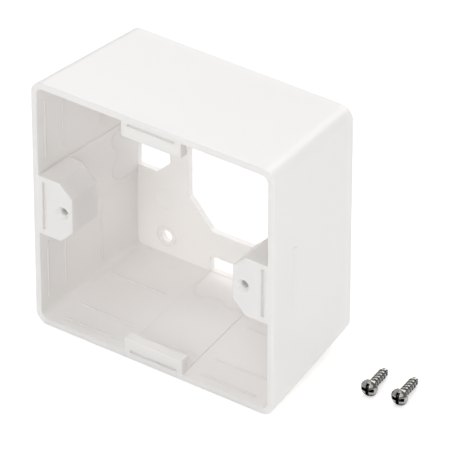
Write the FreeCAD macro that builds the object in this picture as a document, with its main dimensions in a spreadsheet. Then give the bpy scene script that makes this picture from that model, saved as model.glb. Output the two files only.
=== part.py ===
import FreeCAD, Part
import math
import os
import Sketcher

# Surface mount jack box, 80 x 80 x 42 mm, with the two faceplate screws that come with it.
# Millimetres. +Z is up, the open front faces -Y, the back plate lies against the wall on Y = 0.

doc = FreeCAD.newDocument("jack_box")

# ---------------------------------------------------------------- driving sizes
sheet = doc.addObject("Spreadsheet::Sheet", "Sizes")
SIZES = [
    ("box_width", 80.0, "outside width at the open front"),
    ("box_height", 80.0, "outside height at the open front"),
    ("box_depth", 42.0, "front rim to wall"),
    ("draft_in", 3.0, "how far each outer wall leans in by the back"),
    ("rim_wall", 2.0, "wall thickness at the front rim"),
    ("back_wall", 3.3, "wall thickness at the back plate"),
    ("plate_thick", 2.0, "back plate thickness"),
    ("corner_out", 4.0, "outside corner radius"),
    ("corner_in", 2.2, "inside corner radius"),
    ("rim_edge", 0.35, "softened edge of the rim"),
    ("lane_half", 9.8, "half width of the raised lane down the middle of each wall"),
    ("lane_proud", 0.3, "how far a lane stands off its wall"),
    ("screw_inset", 8.0, "wall face to the centre of a faceplate screw, at the rim"),
    ("boss_lip", 3.3, "screw block, screw centre to free side"),
    ("boss_half", 9.5, "half height of a screw block"),
    ("boss_bevel", 4.1, "bevel on the free corners of a screw block"),
    ("boss_length", 11.8, "screw block, front to back"),
    ("boss_taper", 2.0, "draft of a screw block in degrees"),
    ("boss_edge", 0.9, "rounding of the far end of a screw block"),
    ("pilot_bore", 2.2, "pilot hole for the screw thread"),
    ("pilot_mouth", 4.1, "mouth of the pilot hole"),
    ("pilot_length", 9.0, "depth of the pilot hole"),
    ("lug_half", 9.8, "half length of a clip lug"),
    ("lug_reach", 4.8, "clip lug, wall face to free edge"),
    ("lug_thick", 2.8, "clip lug, front to back"),
    ("groove_half", 7.75, "half length of a sink groove"),
    ("groove_gap", 1.2, "sink groove in a screw block, gap to the wall"),
    ("lug_groove_gap", 0.2, "sink groove in a clip lug, gap to the wall"),
    ("groove_wide", 0.9, "width of a sink groove"),
    ("groove_depth", 0.8, "depth of a sink groove"),
    ("web_x", 6.3, "plate left between the cable opening and a side window"),
    ("web_z", 8.3, "plate left between the cable opening and a top or bottom window"),
    ("mouth_cut_x", 7.8, "cable opening, corner cut along X"),
    ("mouth_cut_z", 9.0, "cable opening, corner cut along Z"),
    ("mouth_round", 2.0, "cable opening, corner rounding"),
    ("side_half", 7.0, "side window, half height"),
    ("side_reach", 11.0, "side window, from the wall"),
    ("side_cut", 4.4, "side window, corner cut"),
    ("end_half", 8.6, "top and bottom window, half width"),
    ("end_reach", 5.0, "top and bottom window, from the wall"),
    ("fix_in_x", 10.0, "wall fixing hole, from the side wall"),
    ("fix_in_z", 6.0, "wall fixing hole, from the top or bottom wall"),
    ("fix_bore", 3.8, "wall fixing hole"),
    ("fix_ring", 6.8, "ring round a wall fixing hole"),
    ("fix_ring_wide", 0.45, "width of that ring"),
    ("fix_ring_deep", 0.15, "depth of that ring"),
    ("pin_in_x", 9.0, "ejector mark, from the side wall"),
    ("pin_in_z", 18.2, "ejector mark, from the top or bottom wall"),
    ("pin_mark", 6.0, "ejector mark"),
    ("pin_deep", 0.06, "depth of an ejector mark"),
    ("knock_half", 8.8, "knock-out, half width"),
    ("knock_long", 13.0, "knock-out, from the wall side of the box"),
    ("knock_corner", 2.4, "knock-out, corner cut"),
    ("knock_notch_half", 3.7, "knock-out, notch half width"),
    ("knock_notch_deep", 1.8, "knock-out, notch depth"),
    ("knock_line", 0.5, "knock-out, width of the weakened line"),
    ("knock_cut", 0.2, "knock-out, depth of the weakened line"),
    ("mark_wide", 0.5, "witness line, width"),
    ("mark_proud", 0.2, "witness line, height"),
    ("mark_gap", 4.1, "witness line, gap to the lane"),
    ("mark_end", 7.7, "witness line, from the outside of the next wall"),
    ("mark_one", 3.2, "first witness line, from the rim"),
    ("mark_two", 10.2, "second witness line, from the rim"),
    ("mark_three", 25.2, "third witness line, from the rim"),
    ("screw_head", 5.0, "screw head diameter"),
    ("screw_dome", 1.9, "screw head height"),
    ("screw_brim", 0.5, "height of the straight brim of the head"),
    ("screw_core", 2.1, "screw core diameter"),
    ("screw_thread", 2.8, "screw thread diameter"),
    ("screw_shank", 10.8, "screw length under the head"),
    ("screw_tip", 0.7, "bluntly tapered tip of the screw"),
    ("cross_wide", 1.0, "width of the cross recess arms"),
    ("cross_long", 3.7, "length of the cross recess arms"),
    ("cross_deep", 1.3, "depth of the cross recess"),
    ("left_x", 55.45, "left screw, place of the head along X"),
    ("left_y", -17.9, "left screw, place of the head along Y"),
    ("right_x", 64.55, "right screw, place of the head along X"),
    ("right_y", -16.7, "right screw, place of the head along Y"),
    ("screw_turn", 9.0, "how far the screws are turned on the floor, degrees"),
]
VALUE = {}
for row, (alias, value, note) in enumerate(SIZES, start=1):
    sheet.set("A%d" % row, alias)
    sheet.set("B%d" % row, repr(value))
    sheet.set("C%d" % row, note)
    sheet.setAlias("B%d" % row, alias)
    VALUE[alias] = value
doc.recompute()


class Size:
    """A length that knows its number and the sheet expression it comes from."""

    def __init__(self, number, text):
        self.number = number
        self.text = text

    def join(self, sign, other, number):
        text = other.text if isinstance(other, Size) else repr(float(other))
        return Size(number, "(%s %s %s)" % (self.text, sign, text))

    def __add__(self, other):
        return self.join("+", other, self.number + number_of(other))

    def __sub__(self, other):
        return self.join("-", other, self.number - number_of(other))

    def __mul__(self, other):
        return self.join("*", other, self.number * number_of(other))

    def __truediv__(self, other):
        return self.join("/", other, self.number / number_of(other))

    def __neg__(self):
        return Size(-self.number, "(0 - %s)" % self.text)


def number_of(value):
    return value.number if isinstance(value, Size) else float(value)


def size(alias):
    return Size(VALUE[alias], "Sizes.%s" % alias)


zero = Size(0.0, "0")


def bind(thing, prop, value):
    thing.setExpression(prop, value.text)


# ---------------------------------------------------------------- sketch helpers
def plane_of(body, role):
    for feature in body.Origin.OriginFeatures:
        if feature.Role == role:
            return feature


def sketch_on(body, role, name, offset=None):
    """Sketch on one of the body's own planes, pushed along its normal by offset."""
    sketch = body.newObject("Sketcher::SketchObject", name)
    sketch.AttachmentSupport = [(plane_of(body, role), "")]
    sketch.MapMode = "FlatFace"
    if offset is not None:
        bind(sketch, ".AttachmentOffset.Base.z", offset)
    return sketch


def hold_point(sketch, geo, pos, x, z):
    """Fixes one point of the sketch to the sheet, or to an axis where it is at zero."""
    for kind, along, axis in (("DistanceX", x, -2), ("DistanceY", z, -1)):
        if along is zero:
            sketch.addConstraint(Sketcher.Constraint("PointOnObject", geo, pos, axis))
            continue
        rule = Sketcher.Constraint(kind, -1, 1, geo, pos, along.number)
        bind(sketch, "Constraints[%d]" % sketch.addConstraint(rule), along)


def outline(sketch, points):
    """Closed run of straight lines through the points."""
    first = sketch.GeometryCount
    count = len(points)
    corners = [FreeCAD.Vector(x.number, z.number, 0) for x, z in points]
    for i in range(count):
        sketch.addGeometry(Part.LineSegment(corners[i], corners[(i + 1) % count]), False)
    for i in range(count):
        following = first + (i + 1) % count
        sketch.addConstraint(Sketcher.Constraint("Coincident", first + i, 2, following, 1))
    for i, (x, z) in enumerate(points):
        hold_point(sketch, first + i, 1, x, z)


def rectangle(sketch, left, right, low, high):
    outline(sketch, [(left, low), (right, low), (right, high), (left, high)])


def ring(sketch, x, z, diameter):
    centre = FreeCAD.Vector(x.number, z.number, 0)
    circle = Part.Circle(centre, FreeCAD.Vector(0, 0, 1), diameter.number / 2)
    geo = sketch.addGeometry(circle, False)
    hold_point(sketch, geo, 3, x, z)
    across = sketch.addConstraint(Sketcher.Constraint("Diameter", geo, diameter.number))
    bind(sketch, "Constraints[%d]" % across, diameter)


def four_corners(x, z):
    return [(x, z), (-x, z), (-x, -z), (x, -z)]


def pad(body, sketch, name, length, back=False, both_ways=False):
    """Grows along the sketch normal, against it, or half the length to each side."""
    feature = body.newObject("PartDesign::Pad", name)
    feature.Profile = sketch
    feature.Type = "Length"
    bind(feature, "Length", length)
    feature.Reversed = back
    feature.Midplane = both_ways
    doc.recompute()
    return feature


def pocket(body, sketch, name, length, reverse=False, both_ways=False):
    """Cuts against the sketch normal, along it when reversed, or half the length each way."""
    before = body.Shape.Volume
    feature = body.newObject("PartDesign::Pocket", name)
    feature.Profile = sketch
    feature.Type = "Length"
    bind(feature, "Length", length)
    feature.Reversed = reverse
    feature.Midplane = both_ways
    doc.recompute()
    if body.Shape.Volume >= before - 1e-6:
        raise RuntimeError("%s removed nothing" % name)
    return feature


def mirror(body, feature, name, role):
    copy = body.newObject("PartDesign::Mirrored", name)
    copy.Originals = [feature]
    copy.MirrorPlane = (plane_of(body, role), [""])
    body.Tip = copy
    doc.recompute()
    return copy


def edges_where(shape, wanted):
    names = []
    for i, edge in enumerate(shape.Edges, start=1):
        if wanted(edge):
            names.append("Edge%d" % i)
    return names


def round_edges(body, name, radius, wanted):
    base = body.Tip
    feature = body.newObject("PartDesign::Fillet", name)
    feature.Base = (base, edges_where(base.Shape, wanted))
    bind(feature, "Radius", radius)
    doc.recompute()
    return feature


# ---------------------------------------------------------------- sizes worked out from the sheet
half_w = size("box_width") / 2
half_h = size("box_height") / 2
depth = size("box_depth")
back_w = half_w - size("draft_in")
back_h = half_h - size("draft_in")
in_front_w = half_w - size("rim_wall")
in_front_h = half_h - size("rim_wall")
in_back_w = back_w - size("back_wall")
in_back_h = back_h - size("back_wall")
lane_lean_w = (in_front_w - in_back_w) / (depth - size("plate_thick"))
lane_lean_h = (in_front_h - in_back_h) / (depth - size("plate_thick"))


# ================================================================ box
# One injection moulding: four leaning walls and a back plate, with two screw blocks on the
# side walls and a clip lug on the top and the bottom wall.
box = doc.addObject("PartDesign::Body", "box")
box.Label = "box"

rim_outline = sketch_on(box, "XZ_Plane", "rim_outline")
rectangle(rim_outline, -half_w, half_w, -half_h, half_h)
doc.recompute()
pad(box, rim_outline, "shell", depth)

hollow_outline = sketch_on(box, "XZ_Plane", "hollow_outline", depth)
rectangle(hollow_outline, -in_front_w, in_front_w, -in_front_h, in_front_h)
doc.recompute()
pocket(box, hollow_outline, "hollow", depth - size("plate_thick"))


def across_box(role, name, section, length, mirror_role, cutting=False):
    """Prism of this section along one wall, added or cut, and the same on the opposite wall."""
    sketch = sketch_on(box, role, name + "_profile")
    if role == "YZ_Plane":
        section = [(second, first) for first, second in section]
    outline(sketch, section)
    doc.recompute()
    make = pocket if cutting else pad
    feature = make(box, sketch, name, length, both_ways=True)
    return mirror(box, feature, name + "_opposite", mirror_role)


# Draft: each wall grows thicker inwards from the rim to the back plate, and its outside leans
# in as well, so the moulding comes off its core and out of its cavity.
root = size("rim_wall") / 2
plate_top = -size("plate_thick")


def inside_draft(near_front, near_back):
    return [
        (-(near_front + root), -depth), (-near_front, -depth),
        (-near_back, plate_top), (-(near_front + root), plate_top),
    ]


def outside_draft(front, back):
    return [(-front, -depth), (-(front + root), -depth), (-(front + root), zero), (-back, zero)]


side_run = in_front_h * 2 + size("rim_wall")
end_run = in_front_w * 2 + size("rim_wall")
across_box("XY_Plane", "side_thickening", inside_draft(in_front_w, in_back_w), side_run, "YZ_Plane")
across_box("YZ_Plane", "end_thickening", inside_draft(in_front_h, in_back_h), end_run, "XY_Plane")
side_cut_run = half_h * 2 + size("rim_wall")
end_cut_run = half_w * 2 + size("rim_wall")
across_box("XY_Plane", "side_lean", outside_draft(half_w, back_w), side_cut_run, "YZ_Plane", True)
across_box("YZ_Plane", "end_lean", outside_draft(half_h, back_h), end_cut_run, "XY_Plane", True)


def runs_front_to_back(edge):
    ends = [vertex.Point.y for vertex in edge.Vertexes]
    return len(ends) == 2 and abs(ends[0] - ends[1]) > VALUE["box_depth"] / 2


def is_inner_corner(edge):
    reach = max(abs(vertex.Point.x) for vertex in edge.Vertexes)
    return runs_front_to_back(edge) and reach < in_front_w.number + 0.01


def is_outer_corner(edge):
    return runs_front_to_back(edge) and not is_inner_corner(edge)


round_edges(box, "outer_corners", size("corner_out"), is_outer_corner)
round_edges(box, "inner_corners", size("corner_in"), is_inner_corner)

# Raised lanes down the middle of the four walls; the blocks and lugs stand on them.
proud = size("lane_proud")


def lane_section(near_front, near_back):
    """Wedge from just behind the rim to the back plate."""
    front = size("rim_edge") * 2 - depth
    rear = -size("plate_thick") / 2
    return [
        (-(near_front + root), front),
        (-(near_front - proud), front),
        (-(near_back - proud), rear),
        (-(near_back + root), rear),
    ]


lane_width = size("lane_half") * 2
across_box("XY_Plane", "side_lane", lane_section(in_front_w, in_back_w), lane_width, "YZ_Plane")
across_box("YZ_Plane", "end_lane", lane_section(in_front_h, in_back_h), lane_width, "XY_Plane")

# Screw blocks, flush with the rim, with their free corners bevelled.
span = in_front_w - size("screw_inset")
free_side = span - size("boss_lip")
boss_half = size("boss_half")
bevel = size("boss_bevel")
block_root = half_w - size("rim_wall") / 2
blocks = sketch_on(box, "XZ_Plane", "block_profile", depth)
for side in (1, -1):
    half_block = [
        (block_root * side, -boss_half),
        ((free_side + bevel) * side, -boss_half),
        (free_side * side, -(boss_half - bevel)),
        (free_side * side, boss_half - bevel),
        ((free_side + bevel) * side, boss_half),
        (block_root * side, boss_half),
    ]
    outline(blocks, half_block)
doc.recompute()
block = pad(box, blocks, "screw_blocks", size("boss_length"), back=True)
block.setExpression("TaperAngle", "Sizes.boss_taper")
doc.recompute()

block_end = size("boss_length") - depth


def is_block_end(edge):
    """Rim of the far face of a screw block, but not where it runs into the wall."""
    points = [vertex.Point for vertex in edge.Vertexes]
    if len(points) != 2:
        return False
    level = all(abs(p.y - block_end.number) < 0.01 for p in points)
    mid = edge.CenterOfMass
    return level and abs(mid.x) < in_front_w.number - 1.5 and abs(mid.z) < boss_half.number


round_edges(box, "block_ends", size("boss_edge"), is_block_end)

# Clip lugs on the top and the bottom wall.
lugs = sketch_on(box, "XZ_Plane", "lug_profile", depth)
lug_half = size("lug_half")
lug_free = in_front_h - size("lug_reach")
lug_root = half_h - size("rim_wall") / 2
rectangle(lugs, -lug_half, lug_half, lug_free, lug_root)
rectangle(lugs, -lug_half, lug_half, -lug_root, -lug_free)
doc.recompute()
pad(box, lugs, "clip_lugs", size("lug_thick"), back=True)

# Shallow grooves close to the wall, two in the blocks and two in the lugs. They thin the
# root of each, so the thick plastic leaves no sink mark on the outside.
grooves = sketch_on(box, "XZ_Plane", "groove_profile", depth)
groove_half = size("groove_half")
groove_out_w = in_front_w - size("groove_gap")
groove_in_w = groove_out_w - size("groove_wide")
groove_out_h = in_front_h - size("lug_groove_gap")
groove_in_h = groove_out_h - size("groove_wide")
rectangle(grooves, groove_in_w, groove_out_w, -groove_half, groove_half)
rectangle(grooves, -groove_out_w, -groove_in_w, -groove_half, groove_half)
rectangle(grooves, -groove_half, groove_half, groove_in_h, groove_out_h)
rectangle(grooves, -groove_half, groove_half, -groove_out_h, -groove_in_h)
doc.recompute()
pocket(box, grooves, "sink_grooves", size("groove_depth"))

# Pilot holes for the faceplate screws, with a small conical mouth.
pilots = sketch_on(box, "XZ_Plane", "pilot_places", depth)
ring(pilots, span, zero, size("pilot_bore"))
ring(pilots, -span, zero, size("pilot_bore"))
doc.recompute()
pilot = pocket(box, pilots, "pilot_holes", size("pilot_length"))


def is_pilot_mouth(edge):
    if not isinstance(edge.Curve, Part.Circle):
        return False
    at_front = abs(edge.Curve.Center.y + VALUE["box_depth"]) < 0.01
    return at_front and abs(edge.Curve.Radius - VALUE["pilot_bore"] / 2) < 0.01


mouths = box.newObject("PartDesign::Chamfer", "pilot_mouths")
mouths.Base = (pilot, edges_where(pilot.Shape, is_pilot_mouth))
bind(mouths, "Size", (size("pilot_mouth") - size("pilot_bore")) / 2)
doc.recompute()

# Windows in the back plate at the middle of each wall, where the surface trunking enters.
through = size("plate_thick") * 2
window_w = in_back_w - proud
window_h = in_back_h - proud
side_half = size("side_half")
side_free = window_w - size("side_reach")
side_cut = size("side_cut")
end_half = size("end_half")
end_free = window_h - size("end_reach")
windows = sketch_on(box, "XZ_Plane", "window_profile", through)
for side in (1, -1):
    outline(windows, [
        (window_w * side, -side_half),
        (window_w * side, side_half),
        ((side_free + side_cut) * side, side_half),
        (side_free * side, side_half - side_cut),
        (side_free * side, -(side_half - side_cut)),
        ((side_free + side_cut) * side, -side_half),
    ])
rectangle(windows, -end_half, end_half, end_free, window_h)
rectangle(windows, -end_half, end_half, -window_h, -end_free)
doc.recompute()
pocket(box, windows, "trunking_windows", through)

# Cable opening with cut corners, in the middle of the back plate.
mouth_x = side_free - size("web_x")
mouth_z = end_free - size("web_z")
cut_x = mouth_x - size("mouth_cut_x")
cut_z = mouth_z - size("mouth_cut_z")
cable = sketch_on(box, "XZ_Plane", "cable_profile", through)
outline(cable, [
    (mouth_x, -cut_z), (mouth_x, cut_z), (cut_x, mouth_z), (-cut_x, mouth_z),
    (-mouth_x, cut_z), (-mouth_x, -cut_z), (-cut_x, -mouth_z), (cut_x, -mouth_z),
])
doc.recompute()
pocket(box, cable, "cable_opening", through)


def is_cable_corner(edge):
    points = [vertex.Point for vertex in edge.Vertexes]
    if len(points) != 2:
        return False
    straight = abs(points[0].x - points[1].x) < 0.01 and abs(points[0].z - points[1].z) < 0.01
    in_plate = all(p.y > -VALUE["plate_thick"] - 0.01 for p in points)
    p = points[0]
    near_x = abs(abs(p.x) - mouth_x.number) < 0.01 and abs(abs(p.z) - cut_z.number) < 0.01
    near_z = abs(abs(p.x) - cut_x.number) < 0.01 and abs(abs(p.z) - mouth_z.number) < 0.01
    return straight and in_plate and (near_x or near_z)


round_edges(box, "cable_corners", size("mouth_round"), is_cable_corner)

# Four wall fixing holes with a ring pressed round each, and four ejector marks.
fixings = sketch_on(box, "XZ_Plane", "fixing_places", through)
fix_x = in_back_w - size("fix_in_x")
fix_z = in_back_h - size("fix_in_z")
for x, z in four_corners(fix_x, fix_z):
    ring(fixings, x, z, size("fix_bore"))
doc.recompute()
pocket(box, fixings, "fixing_holes", through)

rings = sketch_on(box, "XZ_Plane", "ring_places", size("plate_thick"))
for x, z in four_corners(fix_x, fix_z):
    ring(rings, x, z, size("fix_ring"))
    ring(rings, x, z, size("fix_ring") - size("fix_ring_wide") * 2)
doc.recompute()
pocket(box, rings, "fixing_rings", size("fix_ring_deep"))

pins = sketch_on(box, "XZ_Plane", "pin_places", size("plate_thick"))
pin_x = in_back_w - size("pin_in_x")
pin_z = in_back_h - size("pin_in_z")
for x, z in four_corners(pin_x, pin_z):
    ring(pins, x, z, size("pin_mark"))
doc.recompute()
pocket(box, pins, "ejector_marks", size("pin_deep"))


# Knock-outs: a weakened line on the lane of each wall, from the plate forward, with a notch
# in its front edge. The line lies in a plane that leans with the wall.
def knock_points(inset):
    half = size("knock_half") - inset
    long = size("knock_long") - inset
    corner = size("knock_corner")
    notch = size("knock_notch_half") + inset
    notch_foot = notch - size("knock_notch_deep") * 1.4
    notch_top = long - size("knock_notch_deep")
    short = size("plate_thick")
    return [
        (-half, short), (-half, long - corner), (-(half - corner), long),
        (-notch, long), (-notch_foot, notch_top), (notch_foot, notch_top), (notch, long),
        (half - corner, long), (half, long - corner), (half, short),
    ]


def knock_out(role, name, wall_back, lean, mirror_role):
    """Weakened line on the lane of one wall and its mirror image opposite."""
    sketch = box.newObject("Sketcher::SketchObject", name + "_profile")
    sketch.AttachmentSupport = [(plane_of(box, role), "")]
    sketch.MapMode = "FlatFace"
    surface = wall_back - proud
    on_plate = size("plate_thick") * lean
    level = -(surface - on_plate)
    bind(sketch, ".AttachmentOffset.Base.z", level)
    outer = knock_points(Size(0.0, "0"))
    inner = knock_points(size("knock_line"))
    run = outer + inner[::-1]
    if role == "XY_Plane":
        points = [(x, -y) for x, y in run]
        axis = FreeCAD.Vector(1, 0, 0)
        turn = "%s * 1 deg" % "(0 + atan(%s) / 1 deg)" % lean.text
    else:
        points = [(-y, x) for x, y in run]
        axis = FreeCAD.Vector(0, 1, 0)
        turn = "%s * 1 deg" % "(0 - atan(%s) / 1 deg)" % lean.text
    placement = sketch.AttachmentOffset
    placement.Rotation = FreeCAD.Rotation(axis, 1.0)
    sketch.AttachmentOffset = placement
    sketch.setExpression(".AttachmentOffset.Rotation.Angle", turn)
    outline(sketch, points)
    doc.recompute()
    cut = pocket(box, sketch, name, size("knock_cut"))
    return mirror(box, cut, name + "_opposite", mirror_role)


knock_out("XY_Plane", "end_knock_out", in_back_h, lane_lean_h, "XY_Plane")
knock_out("YZ_Plane", "side_knock_out", in_back_w, lane_lean_w, "YZ_Plane")


# Fine raised witness lines across the walls, either side of each lane.
mark_places = [size("mark_one"), size("mark_two"), size("mark_three")]


def witness_lines(role, name, wall_front, lean, next_wall):
    """Low ribs across one wall, on both sides of its lane, and their likes opposite."""
    inner_end = size("lane_half") + size("mark_gap")
    outer_end = next_wall - size("mark_end")
    sketch = sketch_on(box, role, name + "_profile", inner_end)
    half_mark = size("mark_wide") / 2
    for place in mark_places:
        surface = -(wall_front - place * lean)
        from_front = place - depth
        section = [
            (surface - root / 2, from_front - half_mark),
            (surface + size("mark_proud"), from_front - half_mark),
            (surface + size("mark_proud"), from_front + half_mark),
            (surface - root / 2, from_front + half_mark),
        ]
        if role == "YZ_Plane":
            section = [(second, first) for first, second in section]
        outline(sketch, section)
    doc.recompute()
    ribs = pad(box, sketch, name, outer_end - inner_end)
    spread = box.newObject("PartDesign::MultiTransform", name + "_all_round")
    across = box.newObject("PartDesign::Mirrored", name + "_across")
    across.MirrorPlane = (plane_of(box, "XY_Plane"), [""])
    beside = box.newObject("PartDesign::Mirrored", name + "_beside")
    beside.MirrorPlane = (plane_of(box, "YZ_Plane"), [""])
    spread.Originals = [ribs]
    spread.Transformations = [across, beside]
    box.Tip = spread
    doc.recompute()


witness_lines("XY_Plane", "side_marks", in_front_w, lane_lean_w, half_h)
witness_lines("YZ_Plane", "end_marks", in_front_h, lane_lean_h, half_w)


def is_rim_outside(edge):
    box_round = edge.BoundBox
    at_front = abs(box_round.YMin + VALUE["box_depth"]) < 0.01 and box_round.YLength < 0.02
    reach = max(abs(box_round.XMin), abs(box_round.XMax)) / half_w.number
    rise = max(abs(box_round.ZMin), abs(box_round.ZMax)) / half_h.number
    return at_front and max(reach, rise) > 0.999


round_edges(box, "rim_softening", size("rim_edge"), is_rim_outside)


# ================================================================ faceplate screws
# Two short pan head screws of plated steel with a cross recess, lying side by side on the
# level of the box's lowest edge, heads to the front. The shank is drawn at the thread core.
def screw(name, place_x, place_y):
    body = doc.addObject("PartDesign::Body", name)
    body.Label = name
    head = size("screw_head") / 2
    brim = -size("screw_brim")
    crown = -size("screw_dome")
    core = size("screw_core") / 2
    shank = size("screw_shank")
    blunt = core * 0.55
    profile = sketch_on(body, "XZ_Plane", name + "_profile")
    axis_foot = (zero, crown)
    corners = [
        axis_foot, (head, brim), (head, zero), (core, zero),
        (core, shank - size("screw_tip")), (blunt, shank), (zero, shank),
    ]
    spots = [FreeCAD.Vector(x.number, z.number, 0) for x, z in corners]
    bulge = head.number ** 2 + brim.number ** 2 - crown.number ** 2
    centre = FreeCAD.Vector(0, bulge / (2 * (brim.number - crown.number)), 0)
    radius = centre.distanceToPoint(spots[0])
    reach = spots[1] - centre
    start = -math.pi / 2
    finish = math.atan2(reach.y, reach.x)
    circle = Part.Circle(centre, FreeCAD.Vector(0, 0, 1), radius)
    profile.addGeometry(Part.ArcOfCircle(circle, start, finish), False)
    for i in range(1, 7):
        profile.addGeometry(Part.LineSegment(spots[i], spots[(i + 1) % 7]), False)
    for i in range(1, 6):
        profile.addConstraint(Sketcher.Constraint("Coincident", i, 2, i + 1, 1))
    profile.addConstraint(Sketcher.Constraint("Coincident", 0, 2, 1, 1))
    profile.addConstraint(Sketcher.Constraint("Coincident", 6, 2, 0, 1))
    profile.addConstraint(Sketcher.Constraint("PointOnObject", 0, 3, -2))
    for i in range(1, 7):
        hold_point(profile, i, 1, corners[i][0], corners[i][1])
    hold_point(profile, 0, 1, corners[0][0], corners[0][1])
    doc.recompute()
    turned = body.newObject("PartDesign::Revolution", name + "_turned")
    turned.Profile = profile
    turned.ReferenceAxis = (profile, ["V_Axis"])
    turned.Angle = 360.0
    doc.recompute()

    cross = sketch_on(body, "XY_Plane", name + "_cross", crown)
    arm = size("cross_wide") / 2
    tip = size("cross_long") / 2
    outline(cross, [
        (tip, -arm), (tip, arm), (arm, arm), (arm, tip), (-arm, tip), (-arm, arm),
        (-tip, arm), (-tip, -arm), (-arm, -arm), (-arm, -tip), (arm, -tip), (arm, -arm),
    ])
    doc.recompute()
    pocket(body, cross, name + "_recess", size("cross_deep"), reverse=True)

    # Laid down: head rim and thread end both touch the floor level.
    thread = VALUE["screw_thread"] / 2
    length = VALUE["screw_shank"] - VALUE["screw_tip"]
    dip = math.degrees(math.atan((head.number - thread) / length))
    lift = head.number * math.cos(math.radians(dip)) - half_h.number
    lay = FreeCAD.Rotation(FreeCAD.Vector(1, 0, 0), -90 - dip)
    turn = FreeCAD.Rotation(FreeCAD.Vector(0, 0, 1), VALUE["screw_turn"])
    place = FreeCAD.Vector(VALUE[place_x], VALUE[place_y], lift)
    body.Placement = FreeCAD.Placement(place, turn.multiply(lay))
    doc.recompute()
    return body


screws = [screw("screw_left", "left_x", "left_y"), screw("screw_right", "right_x", "right_y")]

# ---------------------------------------------------------------- write the nodes
doc.recompute()
for thing in doc.Objects:
    if "Invalid" in thing.State or "Error" in thing.State:
        raise RuntimeError("%s did not build" % thing.Name)
os.makedirs("parts", exist_ok=True)
for body in [box] + screws:
    if body.Shape.isNull() or not body.Shape.isValid() or len(body.Shape.Solids) != 1:
        raise RuntimeError("%s is not one sound solid" % body.Label)
    body.Shape.exportStep("parts/%s.step" % body.Label)
    bounds = body.Shape.optimalBoundingBox()
    print(body.Label, round(body.Shape.Volume, 1), "mm3", bounds)
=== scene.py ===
# Surface mount jack box with its two faceplate screws, on a pale studio floor.
# Metres, in the frame of the CAD model: +Z is up and the open front faces -Y.
import math

import bpy
from mathutils import Matrix, Vector


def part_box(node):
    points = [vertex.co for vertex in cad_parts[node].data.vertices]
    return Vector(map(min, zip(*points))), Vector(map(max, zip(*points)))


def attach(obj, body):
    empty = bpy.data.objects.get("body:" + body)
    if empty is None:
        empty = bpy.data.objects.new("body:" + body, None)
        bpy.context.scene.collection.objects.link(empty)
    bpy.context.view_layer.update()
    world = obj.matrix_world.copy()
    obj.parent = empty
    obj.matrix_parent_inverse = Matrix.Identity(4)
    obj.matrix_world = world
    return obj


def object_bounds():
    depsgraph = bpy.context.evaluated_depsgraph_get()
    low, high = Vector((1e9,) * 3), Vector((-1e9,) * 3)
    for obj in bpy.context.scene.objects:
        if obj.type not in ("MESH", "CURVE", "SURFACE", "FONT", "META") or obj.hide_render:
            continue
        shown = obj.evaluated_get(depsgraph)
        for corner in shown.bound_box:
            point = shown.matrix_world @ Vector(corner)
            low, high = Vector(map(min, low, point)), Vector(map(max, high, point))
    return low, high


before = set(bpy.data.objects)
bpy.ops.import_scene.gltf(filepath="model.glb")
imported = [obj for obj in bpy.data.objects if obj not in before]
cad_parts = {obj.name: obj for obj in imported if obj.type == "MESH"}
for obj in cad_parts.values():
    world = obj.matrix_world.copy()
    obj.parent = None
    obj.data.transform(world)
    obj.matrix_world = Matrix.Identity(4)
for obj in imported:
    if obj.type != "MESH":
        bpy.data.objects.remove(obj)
cad_low, cad_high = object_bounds()
mm = 0.001


# ------------------------------------------------------------------ back box
# One injection moulding in warm white ABS. The mould was finely spark eroded, which leaves a
# satin skin with a soft sheen, and the plastic lets a little light into its edges and thin walls.
def linear(hex_colour):
    """sRGB hex to the linear RGBA that the shaders take."""
    parts = [int(hex_colour[i:i + 2], 16) / 255 for i in (1, 3, 5)]
    return tuple(c / 12.92 if c <= 0.04045 else ((c + 0.055) / 1.055) ** 2.4 for c in parts) + (1,)


def add_node(material, kind, settings=None, **inputs):
    """A node with its settings, and each input set to a value or linked from a socket.

    An input is named by its label, with _ for a space, or by its number after a _.
    """
    node = material.node_tree.nodes.new(kind)
    for name, value in (settings or {}).items():
        setattr(node, name, value)
    for name, value in inputs.items():
        key = int(name[1:]) if name[1:].isdigit() else name.replace("_", " ")
        socket = node.inputs[key]
        if isinstance(value, bpy.types.NodeSocket):
            material.node_tree.links.new(value, socket)
        else:
            socket.default_value = value
    return node


def new_material(name):
    material = bpy.data.materials.new(name)
    material.use_nodes = True
    material.node_tree.nodes.clear()
    return material


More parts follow.
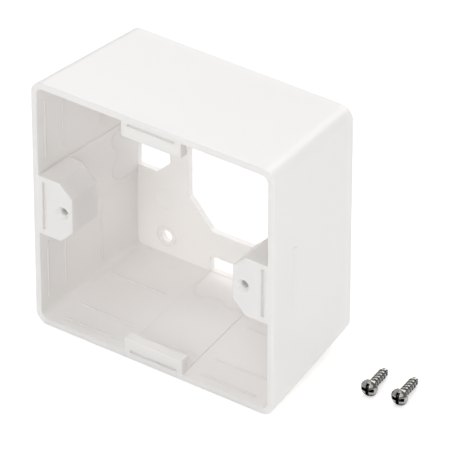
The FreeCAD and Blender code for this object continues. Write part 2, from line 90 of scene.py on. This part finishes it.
def moulded_abs():
    """Warm white ABS from a spark-eroded mould: colour nearly even, sheen broken by fine grain."""
    abs_skin = new_material("moulded white ABS")
    grain_size = 0.35 * mm
    flow_size = 24 * mm
    place = add_node(abs_skin, "ShaderNodeTexCoord").outputs["Object"]
    flow = add_node(
        abs_skin, "ShaderNodeTexNoise",
        Vector=place, Scale=1 / flow_size, Detail=2.0, Roughness=0.5,
    )
    grain = add_node(
        abs_skin, "ShaderNodeTexNoise",
        Vector=place, Scale=1 / grain_size, Detail=3.0, Roughness=0.6,
    )
    colour = add_node(
        abs_skin, "ShaderNodeMix", {"data_type": "RGBA"},
        _0=flow.outputs["Fac"], _6=linear("#fbf6f4"), _7=linear("#faf6f3"),
    )
    sheen = add_node(
        abs_skin, "ShaderNodeMapRange",
        Value=grain.outputs["Fac"], From_Min=0.3, From_Max=0.7, To_Min=0.3, To_Max=0.42,
    )
    edge = add_node(abs_skin, "ShaderNodeBevel", {"samples": 6}, Radius=0.2 * mm)
    swell = add_node(
        abs_skin, "ShaderNodeBump", Strength=0.12, Distance=0.25 * mm,
        Height=flow.outputs["Fac"], Normal=edge.outputs["Normal"],
    )
    pitting = add_node(
        abs_skin, "ShaderNodeBump", Strength=0.1, Distance=0.02 * mm,
        Height=grain.outputs["Fac"], Normal=swell.outputs["Normal"],
    )
    surface = add_node(
        abs_skin, "ShaderNodeBsdfPrincipled",
        Base_Color=colour.outputs[2], Roughness=sheen.outputs["Result"], IOR=1.54,
        Normal=pitting.outputs["Normal"], Subsurface_Weight=0.7,
        Subsurface_Radius=(1.0, 1.0, 1.0), Subsurface_Scale=1.5 * mm,
    )
    add_node(abs_skin, "ShaderNodeOutputMaterial", Surface=surface.outputs[0])
    return abs_skin


def finish_node(node, material):
    """Gives a carried-over CAD node its finish."""
    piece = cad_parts[node]
    piece.data.materials.clear()
    piece.data.materials.append(material)


finish_node("box", moulded_abs())


# ------------------------------------------------------------------ faceplate screws
# Two cold-headed steel screws with a domed head, bright nickel plated. The plating is smooth
# on the dome and slightly drawn along the shank. Painted shade darkens the recess, the thread
# roots and the hollows near the floor to near black.
def nickel_plate():
    """Bright nickel over steel: mirror-like, with faint rub marks and a darker film in places."""
    nickel = new_material("bright nickel plate")
    film_size = 1.4 * mm
    rub_size = 0.12 * mm
    place = add_node(nickel, "ShaderNodeTexCoord").outputs["Object"]
    film = add_node(
        nickel, "ShaderNodeTexNoise",
        Vector=place, Scale=1 / film_size, Detail=3.0, Roughness=0.6,
    )
    stretched = add_node(nickel, "ShaderNodeMapping", Vector=place, Scale=(1.0, 0.15, 1.0))
    rubbing = add_node(
        nickel, "ShaderNodeTexNoise",
        Vector=stretched.outputs["Vector"], Scale=1 / rub_size, Detail=2.0, Roughness=0.5,
    )
    plating = add_node(
        nickel, "ShaderNodeMix", {"data_type": "RGBA"},
        _0=film.outputs["Fac"], _6=linear("#b9b7b4"), _7=linear("#8b8986"),
    )
    # Painted shade: ambient occlusion darkens the plating towards near black in the head recess,
    # the thread roots and under the screw by the floor.
    open_air = add_node(nickel, "ShaderNodeAmbientOcclusion", {"samples": 8}, Distance=1.8 * mm)
    painted_shade = add_node(
        nickel, "ShaderNodeMapRange",
        Value=open_air.outputs["AO"], From_Min=0.62, From_Max=1.0, To_Min=1.0, To_Max=0.0,
    )
    colour = add_node(
        nickel, "ShaderNodeMix", {"data_type": "RGBA"},
        _0=painted_shade.outputs["Result"], _6=plating.outputs[2], _7=linear("#1d1c1b"),
    )
    polish = add_node(
        nickel, "ShaderNodeMapRange",
        Value=rubbing.outputs["Fac"], From_Min=0.3, From_Max=0.7, To_Min=0.1, To_Max=0.24,
    )
    marks = add_node(
        nickel, "ShaderNodeBump", Strength=0.2, Distance=0.01 * mm, Height=rubbing.outputs["Fac"]
    )
    surface = add_node(
        nickel, "ShaderNodeBsdfPrincipled",
        Base_Color=colour.outputs[2], Roughness=polish.outputs["Result"], Metallic=1.0,
        Normal=marks.outputs["Normal"],
    )
    add_node(nickel, "ShaderNodeOutputMaterial", Surface=surface.outputs[0])
    return nickel


nickel = nickel_plate()
for node in ("screw_left", "screw_right"):
    finish_node(node, nickel)


# Rolled thread of each screw: one start, right handed, with a sharp narrow crest and a wide
# root, as thread-forming screws for plastic have. It runs out into the shank at both ends.
head_radius = 2.5 * mm
head_height = 1.9 * mm
head_brim = 0.5 * mm
crest_radius = 1.4 * mm
core_radius = 1.05 * mm
straight_shank = 10.1 * mm
screw_turn = math.radians(9.0)
thread_pitch = 1.45 * mm
thread_start = 0.4 * mm
thread_turns = 6.7
foot_width = 0.65 * mm
crest_width = 0.2 * mm
foot_below_skin = 0.05 * mm
end_below_skin = 0.02 * mm
run_out = 0.75 * thread_pitch
steps_a_turn = 36


def rolled_thread(name, node):
    """Winds the flank profile round the shank of a screw node and lays it where the screw lies."""
    bpy.ops.object.select_all(action="DESELECT")
    bpy.ops.mesh.primitive_plane_add(size=1.0, location=(0, 0, 0))
    thread = bpy.context.object
    thread.name = name
    bpy.ops.object.mode_set(mode="EDIT")
    bpy.ops.mesh.select_all(action="SELECT")
    bpy.ops.transform.rotate(value=math.pi / 2, orient_axis="X", center_override=(0, 0, 0))
    bpy.ops.object.mode_set(mode="OBJECT")
    buried = core_radius - foot_below_skin
    for vertex in thread.data.vertices:
        outer = vertex.co.x > 0
        half = (crest_width if outer else foot_width) / 2
        vertex.co.x = crest_radius if outer else buried
        vertex.co.z = math.copysign(half, vertex.co.z)
    winding = thread.modifiers.new("winding", "SCREW")
    winding.axis = "Z"
    winding.angle = 2 * math.pi * thread_turns
    winding.screw_offset = thread_pitch * thread_turns
    winding.steps = winding.render_steps = round(steps_a_turn * thread_turns)
    winding.use_merge_vertices = False
    bpy.ops.object.modifier_apply(modifier=winding.name)

    # The winding leaves both ends open, so they are capped.
    bpy.ops.object.mode_set(mode="EDIT")
    bpy.ops.mesh.select_all(action="SELECT")
    bpy.ops.mesh.fill_holes(sides=4)
    bpy.ops.mesh.select_all(action="SELECT")
    bpy.ops.mesh.normals_make_consistent(inside=False)
    bpy.ops.object.mode_set(mode="OBJECT")

    # The crest sinks into the shank over the run-out at each end.
    length = thread_pitch * thread_turns
    ends = thread.vertex_groups.new(name="run out")
    for vertex in thread.data.vertices:
        from_end = min(vertex.co.z, length - vertex.co.z)
        weight = 1 - min(max(from_end / run_out, 0.0), 1.0)
        if vertex.co.xy.length > core_radius and weight > 0:
            ends.add([vertex.index], weight ** 0.5, "REPLACE")
    fade = thread.modifiers.new("fade", "CAST")
    fade.cast_type = "CYLINDER"
    fade.factor = 1.0
    fade.use_z = False
    fade.use_radius_as_size = False
    fade.size = core_radius - end_below_skin
    fade.vertex_group = ends.name
    bpy.ops.object.modifier_apply(modifier=fade.name)

    # The screw rests on the rim of its head and the tip of its thread, turned on the floor.
    low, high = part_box(node)
    dip = math.atan((head_radius - crest_radius) / straight_shank)
    laid = Matrix.Rotation(screw_turn, 4, "Z") @ Matrix.Rotation(-math.pi / 2 - dip, 4, "X")
    shank = laid @ Vector((0, 0, 1))
    foot = Vector((
        high.x - head_radius * math.sqrt(1 - shank.x ** 2) - head_brim * abs(shank.x),
        low.y + head_height,
        low.z + head_radius * math.cos(dip),
    ))
    along_shank = Matrix.Translation((0, 0, thread_start))
    thread.data.transform(Matrix.Translation(foot) @ laid @ along_shank)
    bpy.ops.object.shade_smooth_by_angle(angle=math.radians(30))
    thread.data.materials.append(nickel)
    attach(thread, "root")


rolled_thread("thread_left", "screw_left")
rolled_thread("thread_right", "screw_right")


# ------------------------------------------------------------------ floor and studio
# A seamless pale floor at the level of the box's lowest edge. It shows white to the eye and to
# the bright metal, and keeps a faint shadow of the box.
paper_width = 6.0
paper_lift = 0.45


def studio_floor():
    paper = new_material("matt white paper")
    path = add_node(paper, "ShaderNodeLightPath")
    seen = add_node(
        paper, "ShaderNodeMath", {"operation": "MAXIMUM"},
        _0=path.outputs["Is Camera Ray"], _1=path.outputs["Is Glossy Ray"],
    )
    seen_through = add_node(
        paper, "ShaderNodeMath", {"operation": "MAXIMUM"},
        _0=seen.outputs[0], _1=path.outputs["Is Transmission Ray"],
    )
    lift = add_node(
        paper, "ShaderNodeMath", {"operation": "MULTIPLY"},
        _0=seen_through.outputs[0], _1=paper_lift,
    )
    matt = add_node(paper, "ShaderNodeBsdfDiffuse", Color=linear("#f2f2f2"), Roughness=0.0)
    glow = add_node(
        paper, "ShaderNodeEmission", Color=linear("#ffffff"), Strength=lift.outputs[0]
    )
    both = add_node(paper, "ShaderNodeAddShader", _0=matt.outputs[0], _1=glow.outputs[0])
    add_node(paper, "ShaderNodeOutputMaterial", Surface=both.outputs[0])
    bpy.ops.object.select_all(action="DESELECT")
    bpy.ops.mesh.primitive_plane_add(size=paper_width, location=(0, 0, cad_low.z))
    floor = bpy.context.object
    floor.name = "floor"
    floor.data.materials.append(paper)


studio_floor()


def studio_lamp(name, size, watts, place, aim):
    """A round softbox, its size and place in metres."""
    bpy.ops.object.light_add(type="AREA", location=place)
    lamp = bpy.context.object
    lamp.name = name
    lamp.data.shape = "DISK"
    lamp.data.size = size
    lamp.data.energy = watts
    lamp.rotation_euler = (Vector(aim) - lamp.location).to_track_quat("-Z", "Y").to_euler()


middle = (cad_low + cad_high) / 2
studio_lamp("front_softbox", 1.0, 5.0, (0.0, -1.4, 0.45), middle)
studio_lamp("front_right_softbox", 1.0, 2.6, (0.7, -1.05, 0.7), middle)
studio_lamp("top_front_softbox", 1.0, 2.5, (0.0, -0.85, 1.1), middle)
studio_lamp("overhead_softbox", 1.2, 1.8, (-0.1, 0.1, 1.3), middle)
studio_lamp("side_softbox", 1.0, 4.1, (1.15, 0.45, 0.45), middle)
studio_lamp("back_softbox", 1.0, 6.1, (0.1, 1.1, 0.8), middle)
studio_lamp("back_left_softbox", 1.0, 4.6, (-0.85, 0.85, 0.8), middle)

world = bpy.data.worlds.new("studio")
bpy.context.scene.world = world
world.use_nodes = True
sky = world.node_tree.nodes["Background"]
sky.inputs["Color"].default_value = linear("#ffffff")
sky.inputs["Strength"].default_value = 0.24


# ------------------------------------------------------------------ view
camera_place = Vector((684.4, -986.8, 809.5)) * mm
camera_aim = Vector((24.5, -42.0, 17.3)) * mm
bpy.ops.object.camera_add(location=camera_place)
camera = bpy.context.object
camera.rotation_euler = (camera_aim - camera_place).to_track_quat("-Z", "Y").to_euler()
camera.data.lens = 418.0
camera.data.sensor_width = 36
camera.data.clip_start = 0.01
bpy.context.scene.camera = camera
bpy.context.scene.view_settings.view_transform = "Standard"
